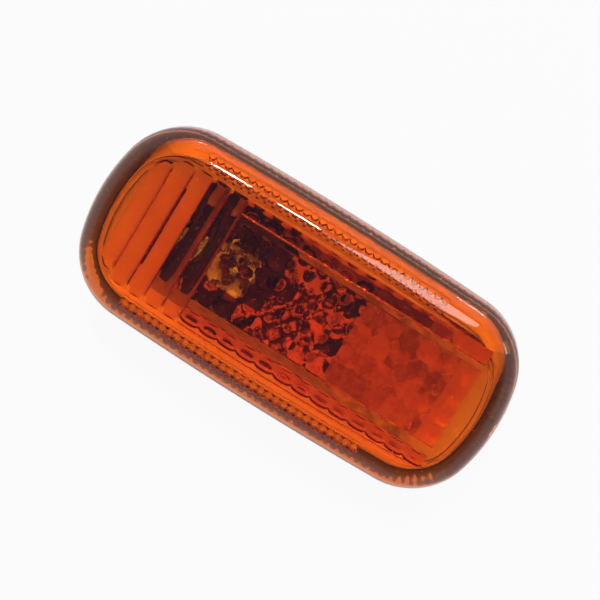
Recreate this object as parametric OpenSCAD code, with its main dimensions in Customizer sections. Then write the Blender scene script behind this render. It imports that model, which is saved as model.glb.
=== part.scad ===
// Side repeater lamp: an amber lens bonded to a moulded housing that snaps into a body panel.
// X runs along the lamp, Y across it and Z out of the panel, whose face is Z = 0.
// The origin is the centre of the face that rests on the panel. Millimetres.

/* [Outline] */
// Length of the lens
lens_l = 80; // [76:0.5:92]
// Width of the lens
lens_w = 37.5; // [35:0.5:44]
// Radius of the bow of the long sides
side_bow_r = 700; // [450:10:1200]
// Radius of the bow of the ends
end_bow_r = 34; // [30:0.5:37]
// Radius of the corners
corner_r = 13; // [12:0.25:15]

/* [Lens] */
// Wall of the lens
lens_wall = 1.6; // [1.2:0.1:2]
// Gap between the lens's foot and the panel
foot_gap = 0.8; // [0.4:0.1:1.2]
// Height above the panel at which the skirt starts to curve inwards
skirt_top = 3.4; // [2.8:0.1:4.2]
// Height above the panel of the edge of the face
face_z = 9; // [8.8:0.1:12]
// Width of the shoulder between the skirt and the face, on the long sides
shoulder_w = 5.2; // [4.6:0.1:5.6]
// Width of the shoulder at the ends
end_shoulder_w = 4; // [3.4:0.1:4.6]
// Rise of the face from its edge to its middle
crown = 0.8; // [0.4:0.1:1.4]
// Rounding of the lens's foot
foot_round = 0.3; // [0.1:0.05:0.5]

/* [Flutes] */
// Number of flutes at the end of the lens
flute_n = 5; // [3:1:5]
// Distance from the lens's end to the first flute
flutes_from_end = 6.1; // [5.9:0.1:6.6]
// Width of one flute
flute_pitch = 3.5; // [3:0.1:3.8]
// Height of a flute
flute_sag = 0.95; // [0.5:0.05:1.1]
// How far the valleys between the flutes stand in from the edge of the inner face
flute_valley_in = 0.06; // [0.04:0.02:0.16]
// Gap between the flutes' ends and the shoulder
flute_margin = 0.6; // [0.3:0.1:1]

/* [Pillows] */
// Columns of pillows along the lens
pillow_cols = 13; // [8:1:13]
// Rows of pillows on the raised pad
pillow_rows = 4; // [2:1:5]
// Height of a pillow
pillow_sag = 0.5; // [0.2:0.02:0.6]
// Distance from the pad to the lens's far end
pad_from_end = 7.78; // [7.5:0.02:9]
// Distance from the outer rows to the shoulder
pad_margin = 1.75; // [1.4:0.05:2.4]
// How far the pad stands in from the edge of the inner face
pad_in = 1.7; // [1.5:0.05:1.9]
// How far the pad stands in from the outer rows
pad_step = 1.5; // [1.2:0.05:1.6]
// Width of the slope between the pad and the outer rows
pad_slope = 1.4; // [0.8:0.1:1.8]
// Width of an outer row of pillows
outer_row_w = 2.6; // [2:0.1:3]

/* [Beads] */
// Distance between beads in a row
bead_pitch = 1.55; // [1.4:0.05:2.2]
// Radius of a bead
bead_r = 0.75; // [0.6:0.05:0.9]
// Distance from the lens's fluted end to the rows of beads
beads_from_end = 14; // [13:0.5:20]
// Distance from the rows of beads to the lens's far end
beads_to_end = 19; // [13:0.5:24]
// Rows of beads on each long side
bead_rows = 3; // [1:1:3]
// Turn up the shoulder to the lowest row, in degrees
bead_turn = 40; // [30:1:44]
// Turn from one row to the next, in degrees
bead_turn_step = 18; // [16:1:20]

/* [Housing] */
// Thickness of the gasket as fitted
gasket_t = 1.6; // [1.2:0.1:2]
// Depth of the groove that holds the gasket
gasket_groove = 0.4; // [0.2:0.05:0.6]
// Width of the gasket
gasket_w = 2.4; // [1.8:0.1:2.6]
// Distance from the lens's outline to the gasket
gasket_inset = 2.7; // [2.5:0.1:3]
// Thickness of the housing's plate
plate_t = 1.8; // [1.5:0.1:2]
// Gap between the plate's edge and the lens's skirt
plate_gap = 0.3; // [0.2:0.05:0.5]
// Width of the sealant in its channel
sealant_w = 1.9; // [1.4:0.1:2.2]
// Height of the sealant
sealant_h = 1.4; // [1:0.1:1.8]
// Thickness of the housing's rim inside the sealant
rim_t = 1.1; // [0.9:0.1:1.4]
// Height of the rim above the plate
rim_h = 2.2; // [2:0.1:2.4]
// Wall of the housing's tub
tub_wall = 1.6; // [1.2:0.1:2]
// Gap between the gasket and the tub's walls
tub_gap = 1.55; // [1.1:0.05:1.8]
// Distance from the lamp's fluted end to the tub, inside
tub_from_end = 15; // [13:0.5:16]
// Distance from the bulb's axis to the foot of the ramp
ramp_from_bulb = 22; // [18:0.5:25]
// Distance from the top of the ramp to the lamp's far end
ramp_to_end = 13; // [11.5:0.5:17]
// Height of the foot of the ramp, from the panel
ramp_foot_z = -4; // [-6:0.5:-2]
// Depth of the tub's floor behind the panel
tub_depth = 8; // [7:0.5:10]
// Radius of the tub's corners
tub_corner_r = 3; // [2:0.5:4]

/* [Panel fixing] */
// Thickness of the panel that the lamp snaps into
panel_t = 0.9; // [0.6:0.1:1.2]
// How far the lens reaches past the cut-out in the panel, at each end
panel_lap = 5.4; // [5.3:0.1:6]
// Play between the fixings and the panel
panel_play = 0.2; // [0.1:0.05:0.3]
// Width of the hook
hook_w = 10; // [7:0.5:11]
// Thickness of the hook's neck
hook_neck_t = 2; // [1.6:0.1:2.4]
// How far the hook reaches behind the panel
hook_reach = 2.4; // [1.5:0.1:2.8]
// Thickness of the hook's foot
hook_foot_t = 2.4; // [1.8:0.1:3]
// Thickness of the post that carries the spring clip
post_t = 1.8; // [1.4:0.1:2]
// How far the post reaches behind the panel
post_depth = 7.5; // [6.5:0.5:9]
// Width of the spring clip
clip_w = 8; // [6:0.5:10]
// Thickness of the spring clip's steel
clip_t = 0.5; // [0.3:0.05:0.6]
// How far the clip's knee stands past the cut-out's edge
clip_knee = 1.4; // [1:0.1:1.8]

/* [Bulb] */
// Distance from the tub's end wall to the bulb's axis
bulb_from_tub = 12; // [11:0.5:13.5]
// Height of the bulb's tip above the tub's floor
bulb_stand = 11.6; // [11:0.1:12]
// Length of the bulb
bulb_l = 26.5; // [26:0.1:27]
// Diameter of the bulb's glass
bulb_d = 10.2; // [9.4:0.1:10.4]
// Thickness of the bulb's glass
glass_t = 0.6; // [0.4:0.05:0.8]
// Width of the bulb's wedge base
wedge_w = 9.2; // [8.8:0.1:9.4]
// Thickness of the bulb's wedge base
wedge_t = 2.5; // [2.2:0.1:2.7]
// Height of the bulb's wedge base
wedge_h = 7; // [6:0.1:7.5]
// Diameter of the leads
lead_d = 0.5; // [0.4:0.05:0.6]
// Distance between the two leads
lead_span = 5.2; // [4.6:0.1:5.6]
// Height to which the leads fold up the base
lead_fold_h = 4.2; // [3:0.1:5]
// Distance from the bulb's tip to the filament
filament_drop = 8; // [6.5:0.1:9]
// Diameter of the filament's coil
coil_d = 0.9; // [0.7:0.05:1.1]
// Diameter of the filament's wire
coil_wire = 0.14; // [0.1:0.02:0.18]
// Turns of the filament
coil_turns = 12; // [8:1:16]

/* [Bulb holder] */
// Diameter of the hole for the holder
hole_d = 17; // [16.8:0.1:17.6]
// Play of the holder's neck in its hole
neck_play = 0.2; // [0.1:0.05:0.3]
// Wall between the bulb and the holder's neck
bulb_play = 0.4; // [0.2:0.05:0.6]
// How far a bayonet lug stands out
lug_out = 1.5; // [1:0.1:1.8]
// Width of a bayonet lug
lug_w = 4; // [3:0.1:5]
// Thickness of a bayonet lug
lug_t = 1.4; // [1:0.1:1.8]
// Turn from the lugs' notches to where they lock
lug_turn = 45; // [30:1:60]
// Height of the collar that takes the seal
collar_h = 2; // [1.4:0.1:2.6]
// Width of the collar's wall
collar_w = 2.6; // [2.2:0.1:3]
// Thickness of the seal ring as fitted
seal_t = 1.2; // [0.9:0.1:1.6]
// Thickness of the holder's flange
flange_t = 2.2; // [1.6:0.1:2.6]
// How far the flange stands out past the collar
flange_over = 0.6; // [0.2:0.1:1]
// Width of the connector's socket, inside
socket_w = 12; // [11:0.1:13]
// Height of the connector's socket, inside
socket_h = 6.4; // [5.6:0.1:7]
// Depth of the connector's socket
socket_depth = 9; // [7:0.5:11]
// Wall of the connector's socket
socket_wall = 1.3; // [1:0.1:1.6]
// Thickness of the wall between the bulb and the connector
web_t = 1.8; // [1.4:0.1:2.4]
// Play around the base, the leads and the contacts
slot_play = 0.15; // [0.08:0.01:0.2]
// Thickness of a contact
contact_t = 0.5; // [0.4:0.05:0.6]
// Width of a contact
contact_w = 2.3; // [1.8:0.1:2.6]
// How much of a blade shows in the socket
blade_l = 5; // [4:0.5:6.5]

/* [Hidden] */

// Steps on a quarter of the outline: end arc, corner arc, side arc
end_steps = 3;
corner_steps = 9;
side_steps = 3;
shoulder_steps = 6;
crown_steps = 5;
inner_crown_steps = 3;
over = 1;
round_fn = 64;
bead_fn = 6;
fold_gap = 0.04;

half_l = lens_l / 2;
half_w = lens_w / 2;
cutout_l = lens_l - 2 * panel_lap;
tub_w = lens_w - 2 * (gasket_inset + gasket_w + tub_gap + tub_wall);
tub_x0 = tub_from_end - half_l;
bulb_x = tub_x0 + bulb_from_tub;
tub_x1 = bulb_x + ramp_from_bulb;
ramp_end_x = half_l - ramp_to_end;
plate_z = gasket_t - gasket_groove;
plate_top = plate_z + plate_t;
plate_inset = lens_wall + plate_gap;
rim_inset = lens_wall + sealant_w;
tub_floor = -tub_depth;
tub_back = tub_floor - tub_wall;
mid_wall = lens_wall / 2;
hole_r = hole_d / 2;
neck_r = hole_r - neck_play;
collar_r = hole_r + collar_w;
collar_z = tub_back - collar_h;
seal_z = collar_z - seal_t;
flange_z = seal_z - flange_t;
bulb_r = bulb_d / 2;
bulb_tip_z = tub_floor + bulb_stand;
bulb_base_z = bulb_tip_z - bulb_l;
wedge_top = bulb_base_z + wedge_h;
filament_z = bulb_tip_z - filament_drop;
neck_top = tub_floor + lug_t + neck_play;
slot_floor = bulb_base_z - lead_d - slot_play;
web_top = slot_floor - contact_t;
web_z = web_top - web_t;
socket_end = web_z - socket_depth;

// Outline of the lamp

function turned(v) = [v[1], -v[0]];

side_centre = [0, half_w - side_bow_r];
end_centre = [half_l - end_bow_r, 0];
to_end = end_centre - side_centre;
side_to_corner = side_bow_r - corner_r;
end_to_corner = end_bow_r - corner_r;
along = (norm(to_end) ^ 2 + side_to_corner ^ 2 - end_to_corner ^ 2) / (2 * norm(to_end));
aside = sqrt(side_to_corner ^ 2 - along ^ 2);
corner_centre = side_centre + along * to_end / norm(to_end) + aside * turned(to_end / norm(to_end));
end_turn = atan2(corner_centre[1], corner_centre[0] - end_centre[0]);
side_turn = atan2(corner_centre[1] - side_centre[1], corner_centre[0]);

function arc(centre, r, from, to, steps) =
    [for (i = [0 : steps - 1]) let (a = from + (to - from) * i / steps) centre + r * [cos(a), sin(a)]];

function quarter(inset) = concat(
    arc(end_centre, end_bow_r - inset, 0, end_turn, end_steps),
    arc(corner_centre, corner_r - inset, end_turn, side_turn, corner_steps),
    arc(side_centre, side_bow_r - inset, side_turn, 90, side_steps),
    [[0, half_w - inset]]);

function outline(inset) =
    let (q = quarter(inset), last = len(q) - 1)
    concat(q,
        [for (i = [last - 1 : -1 : 0]) [-q[i][0], q[i][1]]],
        [for (i = [1 : last]) -q[i]],
        [for (i = [last - 1 : -1 : 1]) [q[i][0], -q[i][1]]]);

module slab(inset, z, h) {
    translate([0, 0, z])
        linear_extrude(h)
            polygon(outline(inset));
}

module ring(inset_out, inset_in, z, h) {
    difference() {
        slab(inset_out, z, h);
        slab(inset_in, z - over, h + 2 * over);
    }
}

// Lens: rings of points from the foot over the outside, then back down the inside

inner_skirt_top = plate_top + sealant_h;
inner_face_z = face_z - lens_wall;
inner_shoulder_w = shoulder_w - lens_wall;

function lifted(points, z) = [for (p = points) [p[0], p[1], z]];

// The shoulder narrows from the long sides to the ends, so its rings are stretched a little along X
function eased(inset) =
    let (stretch = (half_l - inset * end_shoulder_w / shoulder_w) / (half_l - inset))
    [for (p = outline(inset)) [p[0] * stretch, p[1]]];

function shoulder(start_inset, width, z0, z1) =
    [for (i = [0 : shoulder_steps]) let (a = 90 * i / shoulder_steps)
        lifted(eased(start_inset + width * (1 - cos(a))), z0 + (z1 - z0) * sin(a))];

function cap(z, steps) =
    [for (i = [1 : steps - 1]) let (s = 1 - i / steps)
        [for (p = eased(shoulder_w)) [s * p[0], s * p[1], z + crown * (1 - s ^ 2)]]];

function lens_rings() = concat(
    [lifted(outline(foot_round), foot_gap)],
    [lifted(outline(0), foot_gap + foot_round)],
    shoulder(0, shoulder_w, skirt_top, face_z),
    cap(face_z, crown_steps));

function cavity_rings() = concat(
    [lifted(eased(lens_wall), foot_gap)],
    shoulder(lens_wall, inner_shoulder_w, inner_skirt_top, inner_face_z),
    cap(inner_face_z, inner_crown_steps));

function skin(first, ring_n, n) =
    [for (r = [0 : ring_n - 2], i = [0 : n - 1]) let (j = (i + 1) % n)
        [first + r * n + i, first + (r + 1) * n + i, first + (r + 1) * n + j, first + r * n + j]];

function flipped(faces) =
    [for (f = faces) [for (i = [len(f) - 1 : -1 : 0]) f[i]]];

function fan(first, n, apex) =
    [for (i = [0 : n - 1]) [first + i, apex, first + (i + 1) % n]];

function flat(lists) = [for (l = lists) each l];

module lens_shell() {
    outside = lens_rings();
    inside = cavity_rings();
    n = len(outside[0]);
    outside_n = len(outside) * n;
    inside_n = len(inside) * n;
    apex = outside_n + inside_n;
    tips = [[0, 0, face_z + crown], [0, 0, inner_face_z + crown]];
    foot = [for (i = [0 : n - 1]) let (j = (i + 1) % n)
        [i, j, outside_n + j, outside_n + i]];
    polyhedron(
        points = concat(flat(outside), flat(inside), tips),
        faces = concat(
            skin(0, len(outside), n),
            fan(outside_n - n, n, apex),
            flipped(skin(outside_n, len(inside), n)),
            flipped(fan(apex - n, n, apex + 1)),
            foot),
        convexity = 6);
}

// Flutes: bars across the inside of the face, each with a round underside

pad_x = flutes_from_end - half_l + flute_n * flute_pitch;
flute_root_z = inner_face_z + mid_wall;
flute_valley_z = inner_face_z - flute_valley_in;
flute_corner_r = corner_r - shoulder_w - flute_margin;

function flute_reach(x) =
    let (past = max(0, abs(x) - corner_centre[0] - shoulder_w + end_shoulder_w))
    corner_centre[1] + sqrt(max(0, flute_corner_r ^ 2 - past ^ 2));

module flute(i) {
    x = pad_x - flute_pitch * (i + 0.5);
    reach = flute_reach(x);
    steps = 8;
    under = [for (k = [0 : steps]) let (t = 2 * k / steps - 1)
        [t * flute_pitch / 2, flute_valley_z - flute_sag * (1 - t ^ 2)]];
    hull()
        for (y = [-reach, reach - foot_round])
            translate([x, y + foot_round, 0])
                rotate([90, 0, 0])
                    linear_extrude(foot_round)
                        polygon(concat([[-flute_pitch / 2, flute_root_z]], under,
                            [[flute_pitch / 2, flute_root_z]]));
}

// Pillows: one block whose underside is a pad with a row of its own along each long side

pillow_l = (half_l - pad_from_end - pad_x) / pillow_cols;
pad_half = half_w - shoulder_w - pad_margin - outer_row_w - pad_slope;
pillow_w = 2 * pad_half / pillow_rows;
pad_steps = 3;
pad_z = inner_face_z - pad_in;
outer_row_z = pad_z + pad_step;
pad_root_z = inner_face_z + mid_wall + crown / 2;

row_bands = concat(
    [[-pad_half - pad_slope - outer_row_w, outer_row_w, outer_row_z, outer_row_z, pillow_sag]],
    [[-pad_half - pad_slope, pad_slope, outer_row_z, pad_z, 0]],
    [for (r = [0 : pillow_rows - 1]) [-pad_half + r * pillow_w, pillow_w, pad_z, pad_z, pillow_sag]],
    [[pad_half, pad_slope, pad_z, outer_row_z, 0]],
    [[pad_half + pad_slope, outer_row_w, outer_row_z, outer_row_z, pillow_sag]]);

function bump(t) = 1 - (2 * t - 1) ^ 2;

pad_xs = [for (k = [0 : pillow_cols * pad_steps]) [pad_x + k * pillow_l / pad_steps,
    bump(k / pad_steps - floor(k / pad_steps))]];

pad_ys = concat(
    [for (b = row_bands) each [for (k = [0 : pad_steps - 1]) let (t = k / pad_steps)
        [b[0] + b[1] * t, b[2] + (b[3] - b[2]) * t, b[4] * bump(t)]]],
    [[pad_half + pad_slope + outer_row_w, outer_row_z, 0]]);

module pillows() {
    nx = len(pad_xs);
    ny = len(pad_ys);
    under = [for (y = pad_ys, x = pad_xs) [x[0], y[0], y[1] - y[2] * x[1]]];
    border = concat(
        [for (i = [0 : nx - 1]) i],
        [for (j = [1 : ny - 1]) j * nx + nx - 1],
        [for (i = [nx - 2 : -1 : 0]) (ny - 1) * nx + i],
        [for (j = [ny - 2 : -1 : 1]) j * nx]);
    m = len(border);
    root = [for (k = border) [under[k][0], under[k][1], pad_root_z]];
    base = nx * ny;
    polyhedron(
        points = concat(under, root),
        faces = concat(
            [for (j = [0 : ny - 2], i = [0 : nx - 2]) let (k = j * nx + i) [k, k + 1, k + nx]],
            [for (j = [0 : ny - 2], i = [0 : nx - 2]) let (k = j * nx + i) [k + 1, k + nx + 1, k + nx]],
            [for (k = [0 : m - 1]) let (j = (k + 1) % m) [border[k], base + k, base + j, border[j]]],
            [[for (k = [m - 1 : -1 : 0]) base + k]]),
        convexity = 10);
}

// Beads: rows of small points on the inside of the shoulder, along both long sides

bead_row_l = lens_l - beads_from_end - beads_to_end;
bead_x = (beads_from_end - beads_to_end) / 2;

module bead(x, side, turn) {
    inset = lens_wall + inner_shoulder_w * (1 - cos(turn));
    z = inner_skirt_top + (inner_face_z - inner_skirt_top) * sin(turn);
    y = half_w - inset - x ^ 2 / (2 * side_bow_r);
    translate([x, side * y, z])
        rotate([side * (90 + turn), 0, 0])
            translate([0, 0, -bead_r / 2])
                hull()
                    cylinder(h = bead_r, r1 = bead_r, r2 = bead_r / 4, $fn = bead_fn);
}

module beads() {
    count = floor(bead_row_l / bead_pitch);
    for (side = [-1, 1], row = [0 : bead_rows - 1], k = [0 : count])
        bead(bead_x + (k - count / 2) * bead_pitch, side, bead_turn + bead_turn_step * row);
}

module lens() {
    color("orangered", 0.6)
        union() {
            lens_shell();
            for (i = [0 : flute_n - 1])
                flute(i);
            pillows();
            beads();
        }
}

module sealant() {
    color("midnightblue")
        ring(lens_wall, rim_inset, plate_top, sealant_h);
}

module gasket() {
    color("dimgray")
        ring(gasket_inset, gasket_inset + gasket_w, 0, gasket_t);
}

// Housing: plate, rim, tub with a ramp, collar for the holder, hook and post

module rounded_block(x0, x1, w, r, z0, z1) {
    translate([0, 0, z0])
        linear_extrude(z1 - z0) {
            translate([x0 + r, -w / 2])
                square([x1 - x0 - 2 * r, w]);
            translate([x0, -w / 2 + r])
                square([x1 - x0, w - 2 * r]);
            for (x = [x0 + r, x1 - r], y = [r - w / 2, w / 2 - r])
                translate([x, y])
                    circle(r, $fn = round_fn);
        }
}

module along_y(w, points) {
    translate([0, w / 2, 0])
        rotate([90, 0, 0])
            linear_extrude(w)
                polygon(points);
}

module tub_form(grow, top) {
    intersection() {
        rounded_block(tub_x0 - grow, ramp_end_x + grow, tub_w + 2 * grow, tub_corner_r + grow,
            tub_floor - grow, top);
        along_y(tub_w + 2 * grow + 2 * over, [
            [tub_x0 - grow, top],
            [tub_x0 - grow, tub_floor - grow],
            [tub_x1 + grow, tub_floor - grow],
            [tub_x1 + grow, ramp_foot_z - grow],
            [ramp_end_x + grow, plate_z - grow + plate_t],
            [ramp_end_x + grow, top]]);
    }
}

module at_bulb() {
    translate([bulb_x, 0, 0])
        children();
}

module lug_ring(play, z, h, turn) {
    for (a = [0, 120, 240])
        rotate([0, 0, a + turn])
            translate([0, -lug_w / 2 - play, z])
                cube([neck_r + lug_out + play, lug_w + 2 * play, h]);
}

// Room for the lugs to turn in, where a narrow tub's walls stand in their way
module lug_room() {
    translate([0, 0, tub_floor])
        cylinder(h = lug_t + neck_play, r = neck_r + lug_out + neck_play, $fn = round_fn);
}

hook_x = -cutout_l / 2 + panel_play;
hook_top = -panel_t - panel_play;

module hook() {
    along_y(hook_w, [
        [hook_x, plate_z + plate_t / 2],
        [hook_x, hook_top],
        [hook_x - hook_reach, hook_top - panel_play],
        [hook_x - hook_reach, hook_top - hook_foot_t / 2],
        [hook_x - hook_reach / 2, hook_top - hook_foot_t],
        [hook_x + hook_neck_t, hook_top - hook_foot_t],
        [hook_x + hook_neck_t, plate_z + plate_t / 2]]);
}

post_x = cutout_l / 2 - panel_play - 2 * clip_t - post_t;

module post() {
    translate([post_x, -clip_w / 2 - tub_wall, -post_depth])
        cube([post_t, clip_w + 2 * tub_wall, post_depth + plate_z + plate_t / 2]);
}

module housing() {
    color("gray")
        difference() {
            union() {
                slab(plate_inset, plate_z, plate_t);
                ring(rim_inset, rim_inset + rim_t, plate_top - over, rim_h + over);
                tub_form(tub_wall, plate_z + plate_t / 2);
                at_bulb()
                    translate([0, 0, collar_z])
                        cylinder(h = collar_h + over, r = collar_r, $fn = round_fn);
                hook();
                post();
            }
            tub_form(0, plate_top + over);
            at_bulb()
                translate([0, 0, collar_z - over])
                    cylinder(h = tub_depth + collar_h, r = hole_r, $fn = round_fn);
            at_bulb()
                lug_ring(neck_play, collar_z - over, collar_h + tub_wall + 2 * over, lug_turn);
            at_bulb()
                lug_room();
            ring(gasket_inset, gasket_inset + gasket_w, plate_z - over, gasket_groove + over);
        }
}

// Spring clip: a steel strip hooked over the post, with a knee that springs out past the panel

function strip(path, t) =
    let (n = len(path),
        dirs = [for (i = [0 : n - 2]) (path[i + 1] - path[i]) / norm(path[i + 1] - path[i])],
        side = [for (i = [0 : n - 1])
            let (a = turned(dirs[max(i - 1, 0)]), b = turned(dirs[min(i, n - 2)]), m = a + b)
            path[i] + m * 2 * t / (m * m)])
    concat(path, [for (i = [n - 1 : -1 : 0]) side[i]]);

clip_knee_x = cutout_l / 2 + clip_knee;

module spring_clip() {
    color("silver")
        along_y(clip_w, strip([
            [post_x, hook_top - clip_knee],
            [post_x, -post_depth],
            [post_x + post_t, -post_depth],
            [post_x + post_t, -post_depth + clip_knee],
            [clip_knee_x, hook_top - 2 * clip_knee],
            [clip_knee_x - clip_t, hook_top - clip_knee],
            [post_x + post_t + clip_t, -panel_play]], clip_t));
}

// Bulb: a glass shell that runs down into a flat wedge, two leads and a coil

channel_play = slot_play / 3;

module bulb_body(r, tip, foot) {
    translate([0, 0, foot])
        cylinder(h = tip - r - foot, r = r, $fn = round_fn);
    translate([0, 0, tip - r])
        sphere(r = r, $fn = round_fn);
}

module lead_channel(side, play) {
    translate([side * lead_span / 2, 0, bulb_base_z - over])
        cylinder(h = wedge_h + 3 * over, r = lead_d / 2 + play, $fn = round_fn / 2);
}

module bulb_glass() {
    color("aliceblue", 0.4)
        at_bulb()
            difference() {
                union() {
                    bulb_body(bulb_r, bulb_tip_z, wedge_top);
                    translate([-wedge_w / 2, -wedge_t / 2, bulb_base_z])
                        cube([wedge_w, wedge_t, wedge_h + over]);
                }
                bulb_body(bulb_r - glass_t, bulb_tip_z - glass_t, wedge_top + glass_t);
                for (side = [-1, 1])
                    lead_channel(side, channel_play);
            }
}

// A lead runs down through the wedge, turns under it and comes back up along its face
module bulb_lead(side) {
    fold_y = side * ((wedge_t + lead_d) / 2 + fold_gap);
    color("lightgray")
        at_bulb()
            translate([side * lead_span / 2, 0, 0]) {
                translate([0, 0, bulb_base_z - lead_d])
                    cylinder(h = filament_z + lead_d / 2 - bulb_base_z + lead_d, r = lead_d / 2,
                        $fn = round_fn / 2);
                translate([-lead_d / 2, min(0, fold_y), bulb_base_z - lead_d])
                    cube([lead_d, abs(fold_y), lead_d - fold_gap]);
                translate([0, fold_y, bulb_base_z - lead_d])
                    cylinder(h = lead_fold_h + lead_d, r = lead_d / 2, $fn = round_fn / 2);
            }
}

coil_l = lead_span - lead_d;
turn_steps = 10;
wire_sides = 5;

function coil_point(i) =
    let (n = coil_turns * turn_steps)
    [(i / n - 0.5) * coil_l, coil_d / 2 * cos(360 * i / turn_steps), coil_d / 2 * sin(360 * i / turn_steps)];

module bulb_filament() {
    n = coil_turns * turn_steps + 1;
    rings = [for (i = [0 : n - 1], k = [0 : wire_sides - 1])
        let (a = 360 * i / turn_steps, b = 360 * k / wire_sides, c = coil_point(i),
            r = coil_wire / 2)
        c + r * [cos(b), sin(b) * cos(a), sin(b) * sin(a)]];
    color("dimgray")
        at_bulb()
            translate([0, 0, filament_z])
                polyhedron(
                    points = rings,
                    faces = concat(
                        flipped(skin(0, n, wire_sides)),
                        [[for (k = [0 : wire_sides - 1]) k]],
                        [[for (k = [wire_sides - 1 : -1 : 0]) (n - 1) * wire_sides + k]]),
                    convexity = 10);
}

// Bulb holder: neck with lugs, flange and a two-way socket for a plug

pocket_y = wedge_t / 2 + lead_d + contact_t + 2 * slot_play;
contact_y = wedge_t / 2 + lead_d + slot_play;
latch_reach = socket_wall * 1.2;
socket_out_w = socket_w + 2 * socket_wall;
socket_out_h = socket_h + 2 * socket_wall;

module centred_block(w, h, r, z0, z1) {
    rounded_block(-w / 2, w / 2, h, r, z0, z1);
}

module contact_pocket(side) {
    translate([side * lead_span / 2 - contact_w / 2 - slot_play, side > 0 ? 0 : -pocket_y - slot_play,
        web_top])
        cube([contact_w + 2 * slot_play, pocket_y + slot_play, wedge_top - web_top + over]);
}

module blade_slot(side) {
    translate([side * lead_span / 2 - contact_w / 2, -contact_t / 2, web_z - over])
        cube([contact_w, contact_t, web_t + 2 * over]);
}

module bulb_holder() {
    color("darkslategray")
        at_bulb()
            difference() {
                union() {
                    translate([0, 0, flange_z])
                        cylinder(h = neck_top - flange_z, r = neck_r, $fn = round_fn);
                    lug_ring(0, tub_floor, lug_t, 0);
                    translate([0, 0, flange_z])
                        cylinder(h = flange_t, r = collar_r + flange_over, $fn = round_fn);
                    centred_block(socket_out_w, socket_out_h, socket_wall, socket_end,
                        flange_z + over);
                    translate([-collar_r, -socket_wall, flange_z - flange_t])
                        cube([2 * collar_r, 2 * socket_wall, flange_t + over]);
                    latch();
                }
                bulb_body(bulb_r + bulb_play, neck_top + bulb_d + over, wedge_top - slot_play);
                translate([-wedge_w / 2 - slot_play, -wedge_t / 2 - slot_play, slot_floor])
                    cube([wedge_w + 2 * slot_play, wedge_t + 2 * slot_play, wedge_h + over]);
                for (side = [-1, 1]) {
                    contact_pocket(side);
                    blade_slot(side);
                }
                centred_block(socket_w, socket_h, socket_wall / 2, socket_end - over, web_z);
            }
}

// A wedge on the socket's side that the plug's latch snaps behind
module latch() {
    low = socket_end + 2 * socket_wall;
    high = socket_end + 4 * socket_wall;
    root_y = (socket_h + socket_wall) / 2;
    translate([-socket_w / 6, 0, 0])
        rotate([90, 0, 90])
            linear_extrude(socket_w / 3)
                polygon([
                    [root_y, low],
                    [socket_out_h / 2, low],
                    [socket_out_h / 2 + latch_reach, high],
                    [socket_out_h / 2 + latch_reach, high + contact_t],
                    [root_y, high + contact_t]]);
}

module holder_seal() {
    color("black")
        at_bulb()
            difference() {
                translate([0, 0, seal_z])
                    cylinder(h = seal_t, r = collar_r - flange_over, $fn = round_fn);
                translate([0, 0, seal_z - over])
                    cylinder(h = seal_t + 2 * over, r = neck_r, $fn = round_fn);
            }
}

// Contacts: each a strip that springs against a folded lead and ends in a blade in the socket

module contact(side) {
    color("goldenrod")
        at_bulb()
            translate([side * lead_span / 2, 0, 0])
                mirror([0, side > 0 ? 0 : 1, 0])
                    rotate([90, 0, 90])
                        linear_extrude(contact_w, center = true)
                            polygon(strip([
                                [-contact_t / 2, web_z - blade_l],
                                [-contact_t / 2, web_top + contact_t],
                                [contact_y, web_top + contact_t],
                                [contact_y, bulb_base_z + lead_fold_h]], contact_t));
}

lens();
sealant();
housing();
gasket();
spring_clip();
bulb_glass();
bulb_filament();
bulb_lead(-1);  // bulb_lead_left
bulb_lead(1);  // bulb_lead_right
bulb_holder();
holder_seal();
contact(-1);  // contact_left
contact(1);  // contact_right
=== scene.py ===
# Side repeater lamp: an amber lens with flutes, pillows and beads, on a housing that snaps into a panel
import math

import bpy
from mathutils import Matrix, Vector, noise


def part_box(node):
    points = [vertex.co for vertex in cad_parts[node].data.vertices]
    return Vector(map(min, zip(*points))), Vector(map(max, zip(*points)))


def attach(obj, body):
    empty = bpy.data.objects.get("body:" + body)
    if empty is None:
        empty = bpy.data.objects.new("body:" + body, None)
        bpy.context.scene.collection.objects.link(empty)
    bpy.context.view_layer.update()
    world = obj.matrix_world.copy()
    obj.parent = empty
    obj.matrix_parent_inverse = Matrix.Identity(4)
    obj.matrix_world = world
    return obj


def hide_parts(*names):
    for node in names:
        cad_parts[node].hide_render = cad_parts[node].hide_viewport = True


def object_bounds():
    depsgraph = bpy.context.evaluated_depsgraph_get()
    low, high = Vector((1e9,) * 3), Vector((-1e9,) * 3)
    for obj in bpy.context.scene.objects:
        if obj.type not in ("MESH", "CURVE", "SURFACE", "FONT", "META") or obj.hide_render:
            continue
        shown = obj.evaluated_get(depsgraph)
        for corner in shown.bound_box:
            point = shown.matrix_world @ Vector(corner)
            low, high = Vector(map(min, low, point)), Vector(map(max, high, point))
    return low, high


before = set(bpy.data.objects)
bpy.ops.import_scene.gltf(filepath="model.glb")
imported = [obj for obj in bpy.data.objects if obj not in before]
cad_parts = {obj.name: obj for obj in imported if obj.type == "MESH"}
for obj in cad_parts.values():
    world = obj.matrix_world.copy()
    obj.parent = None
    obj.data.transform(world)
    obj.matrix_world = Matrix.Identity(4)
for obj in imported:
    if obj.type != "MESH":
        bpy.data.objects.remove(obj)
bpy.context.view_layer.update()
mm = 0.001
quarterTurn = math.pi / 2
mergeWithin = 1e-6                      # points closer than this become one

lensLow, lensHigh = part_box("lens")
sealantLow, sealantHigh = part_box("sealant")


# Small helpers for modelling

def deselectAll():
    bpy.ops.object.select_all(action='DESELECT')


def makeActive(piece):
    deselectAll()
    piece.select_set(True)
    bpy.context.view_layer.objects.active = piece


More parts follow.
